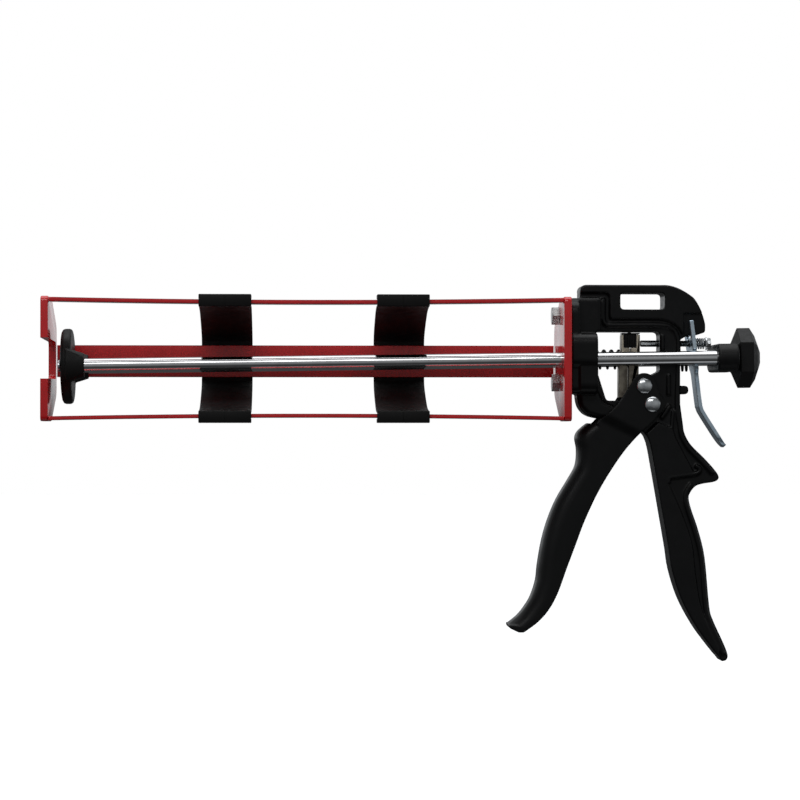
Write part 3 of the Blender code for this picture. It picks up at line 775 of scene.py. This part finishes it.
# %% Openings, and the finished casting
openings = cutters(
    slab(rounded(rectangle(35.0, 61.0, 29.6, 39.3), (2, 2, 2, 2)), "Y", -30, 30),
    slab(rounded([(20.4, 16.6), (20.4, -3.0), (26.9, -23.8), (45.5, -23.8), (52.2, -18.3), (52.2, -9.4),
                  (58.3, -6.6), (58.3, 16.6)], (1, 1, 2, 2, 1, 1, 1, 2)), "Y", -30, 30),
    bar("Y", PIVOT, 2.7, -30, 30, sides=32),
    bar("X", (0, 9.85), 2.4, 50, 75, sides=32),
    bar("X", (-ROD_Y, 0.2), 4.7, 0, 30), bar("X", (ROD_Y, 0.2), 4.7, 0, 30),
    box((72.0, -14, 4), (90, -8.6, 27.5)), box((72.0, 8.6, 4), (90, 14, 27.5)))
opened = [cut(part, openings) for part in parts]
put_away(openings)
casting = cast([part for part in opened if part.faces], 0.5, 5, 0.35)
dress("handle_body", casting, CASTING_BLACK, "frame", angle=60)

# %% [markdown]
# ## The trigger
#
# The trigger is one sheet of steel folded over the front: two sides, a large round bend along the
# fingers' side, and a joggle higher up where the sides step outwards to straddle the casting. The
# channel is a solid slab with its front bent round, hollowed by a smaller copy of itself. The arms are
# flat plates that are pushed inwards below the joggle, so they meet the channel's sides.

# %% The channel


def trigger_front():
    return curve([(22.4, -34.7), (19.3, -35.8), (16.6, -36.8), (11.0, -41.4), (9.2, -45.7), (10.2, -52.4),
                  (9.4, -61.7), (5.0, -70.0), (-1.8, -81.4), (-6.7, -92.8), (-10.4, -105.3),
                  (-13.0, -119.8), (-14.1, -129.1), (-17.1, -138.4), (-20.8, -144.6),
                  (-25.0, -149.8), (-30.8, -154.5)])


def trigger_back():
    return curve([(-21.9, -159.1), (-13.5, -152.9), (-7.2, -145.7), (-2.1, -136.3), (3.2, -121.8),
                  (8.3, -108.3), (13.8, -93.8), (21.6, -77.3), (30.3, -62.8), (38.6, -51.3), (47.2, -42.0)])


print("the trigger's edges have", len(trigger_front()), "and", len(trigger_back()), "points")

# %% Folding sheet round a front edge
CHANNEL = 13.0
WALL = 2.0
BEND = 8.0

INWARD = Vector((0.97, -0.25))


def folded(front, rest, half, bend, steps=7):
    """A slab whose front edge is bent round towards both of its sides."""
    turns = [math.radians(90 * step / steps) for step in range(steps + 1)]
    quarter = [(half - bend + bend * math.sin(turn), bend * (1 - math.cos(turn))) for turn in turns]
    stations = [(-y, inset) for y, inset in reversed(quarter)] + quarter
    bm = bmesh.new()
    rings = []
    for y, inset in stations:
        outline = [Vector(point) + INWARD * inset for point in front] + [Vector(point) for point in rest]
        rings.append([bm.verts.new(in_space("Y", y, point)) for point in outline])
    for ring, after in zip(rings, rings[1:]):
        for index in range(len(ring)):
            bm.faces.new((ring[index - 1], ring[index], after[index], after[index - 1]))
    bm.faces.new(rings[0])
    bm.faces.new(reversed(rings[-1]))
    bmesh.ops.recalc_face_normals(bm, faces=bm.faces)
    return bm


# %% The hollow channel
front = trigger_front()
rest = [front[-1], (-30.2, -156.6), (-25.0, -159.1)] + trigger_back() + [(43.0, -37.0), (27.5, -31.0)]
inner_front = [(x + WALL * 1.15, z - 0.2) for x, z in front if -150.0 < z < -38.0]
inner_rest = [(-18.5, -152.4), (40.0, -152.4), (80.0, -20.0), (21.5, -20.0)]
hollowing = cutters(folded(inner_front, inner_rest, CHANNEL - WALL, BEND - WALL))
channel = shaped(
    folded(front[2:-1], rest + front[:2], CHANNEL, BEND),
    boolean("DIFFERENCE", hollowing[0], "MANIFOLD"))
put_away(hollowing)
print("the channel has", len(channel.faces), "faces")

# %% The arms and their joggle
ARM = (13.05, 15.0)
JOGGLE_FROM = Vector((27.5, -31.0))
JOGGLE_ALONG = Vector((18.3, -9.4)).normalized()
JOGGLE_DOWN = Vector((JOGGLE_ALONG.y, -JOGGLE_ALONG.x))
JOGGLE_WIDTH = 7.0
JOGGLE_CUTS = 6


def arm(side):
    outline = [(33.6, -25.0)] + arc(DRIVE, 7.4, 165, 20, 14)
    outline += curve([(57.1, -19.0), (57.9, -25.0), (57.7, -29.5), (54.8, -34.8), (47.2, -42.0)])
    outline += [(41.0, -46.6), (32.0, -46.6), (20.0, -37.0), (27.5, -31.0)]
    bm = slab(outline, "Y", *sorted((side * ARM[0], side * ARM[1])))
    for step in range(JOGGLE_CUTS + 1):
        down = JOGGLE_DOWN * JOGGLE_WIDTH * step / JOGGLE_CUTS
        cut_at = JOGGLE_FROM + down
        bmesh.ops.bisect_plane(
            bm, geom=list(bm.verts) + list(bm.edges) + list(bm.faces), dist=1e-4,
            plane_co=(cut_at.x, 0, cut_at.y), plane_no=(JOGGLE_DOWN.x, 0, JOGGLE_DOWN.y))
    for vert in bm.verts:
        below = (Vector((vert.co.x, vert.co.z)) - JOGGLE_FROM).dot(JOGGLE_DOWN) / JOGGLE_WIDTH
        share = min(max(below, 0.0), 1.0)
        vert.co.y -= side * (ARM[1] - CHANNEL) * share * share * (3 - 2 * share)
    return bm


rivet_holes = cutters(bar("Y", PIVOT, 2.5, -30, 30, sides=32), bar("Y", DRIVE, 2.5, -30, 30, sides=32))
lever_parts = [channel] + [cut(arm(side), rivet_holes) for side in (-1, 1)]
put_away(rivet_holes)
lever = cast(lever_parts, 0.5, 5, 0.35)
dress("trigger_lever", lever, SHEET_BLACK, "trigger", angle=60)

# %% [markdown]
# ## Rivets, and the roller between the arms
#
# A rivet head is a low dome. It is spun from a few profile points with a rounded rim, then the whole
# pin is one lathe profile from dome to dome.

# %% Rivets
ARM_OUTSIDE = 15.3
DOME = [(0.0, 4.75), (0.35, 4.8), (0.8, 4.68), (1.3, 4.3), (1.8, 3.6), (2.2, 2.6), (2.45, 1.3), (2.5, 0.0)]


def rivet(node, centre, body):
    profile = [(-ARM_OUTSIDE - rise, radius) for rise, radius in reversed(DOME)]
    profile += [(-ARM_OUTSIDE, 2.2), (ARM_OUTSIDE, 2.2)]
    profile += [(ARM_OUTSIDE + rise, radius) for rise, radius in DOME]
    dress(node, spun(profile, "Y", centre), BRIGHT_ZINC, body, angle=45)


rivet("pivot_rivet", PIVOT, "frame")
rivet("drive_rivet", DRIVE, "trigger")
roller = spun([(-8.9, 2.4), (-8.9, 2.75), (-8.6, 3.0), (8.6, 3.0), (8.9, 2.75), (8.9, 2.4), (-8.9, 2.4)],
              "Y", DRIVE)
dress("drive_roller", roller, BRIGHT_ZINC, "trigger")

# %% [markdown]
# ## The grip plates
#
# The trigger pushes two hardened plates along the rods. They keep the frame's shape with a small
# rounding, since sawn plate is never razor sharp. The ribbed piece between their tops is moulded.

# %% Grip plates
for node in ("front_grip_plate", "rear_grip_plate"):
    dress(node, ease(from_frame(node), 0.4, segments=3, angle=50), GRIP_BRONZE, "drive")

# %% Ribbed insert
INSERT_X = (37.8, 44.8)
INSERT_Z = (7.5, 15.0)
INSERT_HALF = 5.0
RIBS = 7
pitch = (INSERT_X[1] - INSERT_X[0]) / RIBS
insert = box((INSERT_X[0], 0.5 - INSERT_HALF, INSERT_Z[0]),
             (INSERT_X[1], INSERT_HALF - 0.5, INSERT_Z[1] + 0.5))
for rib in range(RIBS):
    low = INSERT_X[0] + (rib + 0.2) * pitch
    raised = box((low, -INSERT_HALF - 0.2, INSERT_Z[0]), (low + 0.6 * pitch, INSERT_HALF + 0.2, 14.8))
    raised = ease(raised, 0.15)
    insert = merged(insert, raised)
insert = merged(insert, ease(box((36.5, -INSERT_HALF - 0.2, 15.35), (47.0, INSERT_HALF + 0.2, 16.0)), 0.2))
insert = merged(insert, box((40.7, -2, 15.4), (42.1, 2, 16.4)))
dress("grip_insert", insert, CLIP_PLASTIC, "drive")

# %% [markdown]
# ## Springs
#
# A spring is wound, so it is made by winding: a ring of edges the size of the wire is extruded a
# little, turned about the spring's axis, moved on by its share of the pitch, and extruded again.

# %% Springs


def wound(low, high, radius, wire, turns, height, per_turn=36, sides=12):
    """A round-wire coil along X, which starts and ends at its top."""
    bm = bmesh.new()
    centre = Vector((0, 0, height))
    start = Matrix.Translation(Vector((low + wire, 0, height + radius)))
    start = start @ Matrix.Rotation(math.pi / 2, 4, "X")
    bmesh.ops.create_circle(bm, cap_ends=False, radius=wire, segments=sides, matrix=start)
    ring = list(bm.edges)
    count = round(turns * per_turn)
    advance = Vector(((high - low - 2 * wire) / count, 0, 0))
    for _ in range(count):
        pushed = bmesh.ops.extrude_edge_only(bm, edges=ring)["geom"]
        moved = [item for item in pushed if isinstance(item, bmesh.types.BMVert)]
        ring = [item for item in pushed if isinstance(item, bmesh.types.BMEdge)]
        bmesh.ops.rotate(bm, cent=centre, matrix=Matrix.Rotation(2 * math.pi / per_turn, 3, "X"), verts=moved)
        bmesh.ops.translate(bm, vec=advance, verts=moved)
    bmesh.ops.holes_fill(bm, edges=bm.edges)
    bmesh.ops.recalc_face_normals(bm, faces=bm.faces)
    return bm


return_coil = wound(21.1, 35.9, 5.2, 0.8, 3, 0.5)
spring_piece = dress("return_spring", return_coil, SPRING_BLACK, "frame")
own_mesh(spring_piece)
lever_coil = wound(70.9, 77.0, 5.2, 0.7, 2, -0.8)
lever_spring = dress("lever_spring", lever_coil, SPRING_BLACK, "frame")
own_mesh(lever_spring)
dress("release_spring", wound(80.0, 86.2, 2.9, 0.45, 4, 9.85), BRIGHT_ZINC, "frame")

# %% [markdown]
# ## The guide bolt
#
# A thin bolt crosses the window, passes through the rear column and carries the release lever's
# spring, washer and nut. Threads that small read as fine rings, so they are cut as rings: a lathe
# profile that goes in and out, not a true helix.

# %% Guide bolt, washer and nut
GUIDE = (0, 9.85)


def threaded(low, high, radius, pitch=0.7, depth=0.22):
    """Profile points of a rolled thread."""
    points = []
    for turn in range(int((high - low) / pitch)):
        points += [(low + turn * pitch, radius - depth), (low + (turn + 0.5) * pitch, radius)]
    return points


shank = [(47.7, 0.0), (47.7, 1.4), (48.2, 1.9), (69.0, 1.9)]
shank += threaded(69.4, 89.2, 1.9) + [(89.6, 1.5), (89.6, 0.0)]
dress("guide_bolt", spun(shank, "X", GUIDE, steps=40), BRIGHT_ZINC, "frame")
washer = spun([(86.4, 2.2), (86.4, 3.8), (87.0, 3.8), (87.0, 2.2), (86.4, 2.2)], "X", GUIDE)
dress("release_washer", washer, BRIGHT_ZINC, "frame")
nut_hole = cutters(bar("X", GUIDE, 2.2, 80, 95, sides=40))
nut = cut(hex_head("X", GUIDE, 3.9, 87.3, 89.3, chamfered_low=False), nut_hole)
put_away(nut_hole)
dress("release_nut", nut, BRIGHT_ZINC, "frame")

# %% [markdown]
# ## The release lever
#
# The lever is a strip of zinc-plated steel that hangs behind the casting, forked at its top and bent
# near its tail. It is drawn as the strip's edge view, extruded across, and then trimmed to its front
# view: wide prongs, a waist between the rods and a narrow rounded tail.

# %% Release lever
LEVER_PATH = [(76.2, 23.2), (79.3, -2.0), (82.0, -24.5), (82.7, -28.0), (84.6, -32.0), (94.6, -47.6),
              (97.2, -50.5)]
THICK = 2.3


def lever_outline():
    path = [Vector(point) for point in curve(LEVER_PATH, 6)]
    front, rear = [], []
    for index, point in enumerate(path):
        ahead = path[min(index + 1, len(path) - 1)] - path[max(index - 1, 0)]
        across = Vector((-ahead.y, ahead.x)).normalized() * THICK / 2
        front.append(tuple(point + across))
        rear.append(tuple(point - across))
    return front + list(reversed(rear))


front_view = [(14.4, 30.0), (14.4, 6.8)] + curve([(13.6, 6.0), (12.3, 5.6)], 1)
front_view += [(12.3, -3.6)] + curve([(11.4, -5.6), (8.6, -7.4), (8.0, -10.0)], 3) + [(8.0, -44.0)]
front_view += arc((0.0, -44.0), 8.0, 0, -90, 8)[1:]
front_view += [(-y, z) for y, z in reversed(front_view[:-1])]
blank = slab(lever_outline(), "Y", -18.0, 18.0)
tools = cutters(
    slab(front_view, "X", 60, 120), bar("X", GUIDE, 2.7, 60, 110),
    slab(rounded(rectangle(-9.3, 9.3, 12.9, 40.0), (3, 3, 0, 0)), "X", 60, 110))
blank = shaped(blank, *[
    boolean(operation, tool, "MANIFOLD")
    for operation, tool in zip(("INTERSECT", "DIFFERENCE", "DIFFERENCE"), tools)])
put_away(tools)
dress("release_lever", cast([blank], 0.3, 3, 0.4), BLUE_ZINC, "release", angle=60)

# %% [markdown]
# ## The rods
#
# The two push rods are plain bright bar, chamfered at both ends. They lie at a small angle to the
# carriage, because their guides leave them a little play, so everything on them is drawn level and
# then turned by that angle about the seat.

# %% Push rods
rod_joint = next(joint for joint in frame["joints"] if joint["name"] == "rod_slide")
slope = Vector(rod_joint["axis"])
DROOP = Matrix.Rotation(-math.atan2(slope.z, slope.x), 4, "Y")

for side, across in (("left", -ROD_Y), ("right", ROD_Y)):
    bright = spun([(-285.0, 0.0), (-285.0, 3.5), (-284.5, 4.0), (95.5, 4.0), (96.0, 3.5), (96.0, 0.0)],
                  "X", (across, 0), steps=128)
    dress(f"{side}_push_rod", bright, CHROME, "rods", angle=25, turn=DROOP)
    for name in ("pusher_screw", "knob_screw"):
        node = f"{side}_{name}"
        dress(node, ease(from_frame(node), 0.12, segments=2, angle=40), BRIGHT_ZINC, "rods")

# %% [markdown]
# ## The pusher
#
# The pusher is moulded: a thick disc with a rounded rim, a cone around each rod end and a low web
# between them. It is melted from those simple parts, as a casting is, with a finer cell.

# %% Pusher
FACE, BACK = -290.9, -284.7
disc = spun([(FACE, 0.0), (FACE, 20.2), (FACE + 0.7, 21.5), (FACE + 2.0, 22.0), (BACK - 1.6, 22.0),
             (BACK - 0.4, 21.4), (BACK, 20.2), (BACK, 0.0)], "X", (0, 0), steps=96)
pusher_parts = [disc, ease(box((BACK - 2, -ROD_Y, -5.5), (BACK + 3.0, ROD_Y, 5.5)), 1.2)]
within = cutters(bar("X", (0, 0), 23.0, BACK - 9, 0, sides=96))
for across in (-ROD_Y, ROD_Y):
    cone = bar("X", (across, 0), 10.2, BACK - 3, -277.1, sides=48, end_radius=7.0)
    cone = shaped(cone, boolean("INTERSECT", within[0]))
    pusher_parts.append(cone)
put_away(within)
rod_ends = cutters(*[bar("X", (across, 0), 4.25, -285.3, 0) for across in (-ROD_Y, ROD_Y)],
                   *[bar("X", (across, 0), 3.7, FACE - 3, FACE + 1.6) for across in (-ROD_Y, ROD_Y)])
pusher_parts = [cut(part, rod_ends) for part in pusher_parts]
put_away(rod_ends)
dress("pusher", cast(pusher_parts, 0.35, 4, 0.35), CLIP_PLASTIC, "rods", angle=60,
      turn=DROOP)

# %% [markdown]
# ## The pull knob
#
# The hub takes both rods, and the grip behind it is a six-sided block with its corners up and down.
# Its faces run out in a cone in front and a blunter one behind. The cone sections are six-sided bars
# set end to end, then melted with the hub so that the edges come out softly rounded.

# %% Pull knob
HUB_HALF = 8.1
straight = 25.0 - HUB_HALF
stadium = arc((straight, 0), HUB_HALF, -90, 90, 16) + arc((-straight, 0), HUB_HALF, 90, 270, 16)
hub = ease(slab(stadium, "X", 90.7, 103.0), 1.3, segments=3, angle=50)


def six_sided(low, high, radius, end_radius):
    """A six-sided block or cone with its corners up and down."""
    bm = bar("X", (0, 0), radius, low, high, sides=6, end_radius=end_radius)
    bmesh.ops.rotate(bm, cent=(0, 0, 0), matrix=Matrix.Rotation(math.pi / 2, 3, "X"), verts=bm.verts)
    return bm


knob_parts = [
    hub, six_sided(101.5, 105.2, 9.0, 17.8), six_sided(105.0, 112.8, 17.8, 17.8),
    six_sided(112.6, 115.8, 17.8, 12.8), six_sided(115.6, 118.0, 13.0, 6.0),
]
rod_seats = cutters(*[bar("X", (across, 0), 4.25, 85.0, 96.3) for across in (-ROD_Y, ROD_Y)])
knob_parts = [cut(part, rod_seats) for part in knob_parts]
put_away(rod_seats)
dress("pull_knob", cast(knob_parts, 0.4, 4, 0.35), KNOB_PLASTIC, "rods", angle=60,
      turn=DROOP)

# %% [markdown]
# ## Floor, light and camera
#
# The gun is shown as in a catalogue: on white, with almost no shadow, so that its outline reads. A
# pale floor runs out under it. The sky is white behind and above. On the viewer's side it is darker
# and banded, like the room behind a viewer, because chrome only looks like chrome when it has
# something dark to mirror.

# %% Floor
FLOOR_DROP = 0.16
floor_mesh = bpy.data.meshes.new("floor")
floor_shape = bmesh.new()
bmesh.ops.create_grid(floor_shape, x_segments=1, y_segments=1, size=12.0)
bmesh.ops.translate(floor_shape, vec=(0, 0, cad_box[0].z - FLOOR_DROP), verts=floor_shape.verts)
floor_shape.to_mesh(floor_mesh)
floor_shape.free()
floor = bpy.data.objects.new("floor", floor_mesh)
scene.collection.objects.link(floor)
pale = surface("pale_floor", (0.93, 0.93, 0.93), (0.95, 0.95, 0.95), (0.8, 0.9), cloud=0.5, grain=40,
               relief=0.0)
pale.node_tree.nodes["Principled BSDF"].inputs["Emission Color"].default_value = (1.0, 1.0, 1.0, 1.0)
pale.node_tree.nodes["Principled BSDF"].inputs["Emission Strength"].default_value = 0.6
floor_mesh.materials.append(pale)
floor.visible_glossy = False
floor.visible_diffuse = False
floor.visible_shadow = False
print("floor height:", round(cad_box[0].z - FLOOR_DROP, 3))

# %% [markdown]
# The sky is a ramp over height. Heights run from 0, straight down, to 1, straight up, and the horizon
# is at 0.5. The gun sees one ramp on the viewer's side and another behind, and the camera itself sees
# plain white.

# %% How high each direction points
world = bpy.data.worlds.new("studio")
scene.world = world
world.use_nodes = True
sky = world.node_tree
direction = sky.nodes.new("ShaderNodeTexCoord")
split = sky.nodes.new("ShaderNodeSeparateXYZ")
sky.links.new(direction.outputs["Generated"], split.inputs["Vector"])
height = sky.nodes.new("ShaderNodeMapRange")
height.inputs["From Min"].default_value = -1.0
height.inputs["From Max"].default_value = 1.0
sky.links.new(split.outputs["Z"], height.inputs["Value"])
print("world:", world.name)

# %% The two sides of the sky
VIEWER_SIDE = (
    (0.00, 0.40), (0.03, 0.36), (0.07, 0.04), (0.20, 0.03), (0.30, 0.09), (0.44, 0.20), (0.58, 0.30),
    (0.66, 0.25), (0.74, 0.17), (0.86, 0.10), (0.93, 0.28), (0.97, 0.90), (1.00, 1.00),
)
FAR_SIDE = ((0.00, 0.05), (0.30, 0.06), (0.49, 0.08), (0.51, 0.70), (0.56, 0.80), (0.70, 0.25), (0.86, 0.60),
            (1.00, 1.00))
COOL = (0.95, 0.98, 1.0)


def ramp_over_height(stops):
    node = sky.nodes.new("ShaderNodeValToRGB")
    elements = node.color_ramp.elements
    while len(elements) < len(stops):
        elements.new(0.5)
    for element, (position, level) in zip(elements, stops):
        element.position = position
        element.color = (level * COOL[0], level * COOL[1], level * COOL[2], 1.0)
    sky.links.new(height.outputs["Result"], node.inputs["Fac"])
    return node.outputs["Color"]


print("stops:", len(VIEWER_SIDE), "and", len(FAR_SIDE))

# %% Mixing the sky


def blend_of(factor, first, second):
    node = sky.nodes.new("ShaderNodeMixShader")
    sky.links.new(factor, node.inputs["Fac"])
    sky.links.new(first, node.inputs[1])
    sky.links.new(second, node.inputs[2])
    return node.outputs["Shader"]


def glow(colour=None):
    node = sky.nodes.new("ShaderNodeBackground")
    node.inputs["Color"].default_value = (1.0, 1.0, 1.0, 1.0)
    if colour is not None:
        sky.links.new(colour, node.inputs["Color"])
    return node.outputs["Background"]


side = sky.nodes.new("ShaderNodeMapRange")
side.interpolation_type = "SMOOTHSTEP"
side.inputs["From Min"].default_value = -0.15
side.inputs["From Max"].default_value = 0.15
sky.links.new(split.outputs["Y"], side.inputs["Value"])
room = blend_of(side.outputs["Result"], glow(ramp_over_height(VIEWER_SIDE)), glow(ramp_over_height(FAR_SIDE)))
seen = sky.nodes.new("ShaderNodeLightPath")
whole = blend_of(seen.outputs["Is Camera Ray"], room, glow())
sky.links.new(whole, sky.nodes["World Output"].inputs["Surface"])
print("the sky has", len(sky.nodes), "nodes")

# %% Lights


def softbox(name, place, aim, size, power):
    light = bpy.data.lights.new(name, "AREA")
    light.shape = "RECTANGLE"
    light.size, light.size_y = size
    light.energy = power
    obj = bpy.data.objects.new(name, light)
    scene.collection.objects.link(obj)
    obj.location = SEAT + Vector(place)
    obj.rotation_euler = (Vector(aim) - Vector(place)).to_track_quat("-Z", "Y").to_euler()
    return obj


softbox("ceiling_box", (-0.1, 0.0, 1.6), (-0.1, 0, 0), (2.4, 1.6), 14.0)
softbox("front_box", (-0.5, -1.7, 1.1), (-0.1, 0, -0.05), (1.4, 0.5), 7.0)
print("lights:", len(bpy.data.lights))

# %% Camera
LENS = 125.2
EYE = Vector((-0.1604, -1.631, -0.0439))
LOOK_AT = Vector((-0.0950, -0.031, -0.0238))
camera_data = bpy.data.cameras.new("camera")
camera_data.lens = LENS
camera_data.sensor_width = 36.0
camera = bpy.data.objects.new("camera", camera_data)
scene.collection.objects.link(camera)
camera.location = SEAT + EYE
camera.rotation_euler = (LOOK_AT - EYE).to_track_quat("-Z", "Y").to_euler()
scene.camera = camera
scene.view_settings.view_transform = "Standard"
scene.view_settings.look = "None"
print("camera distance:", round((LOOK_AT - EYE).length, 3))
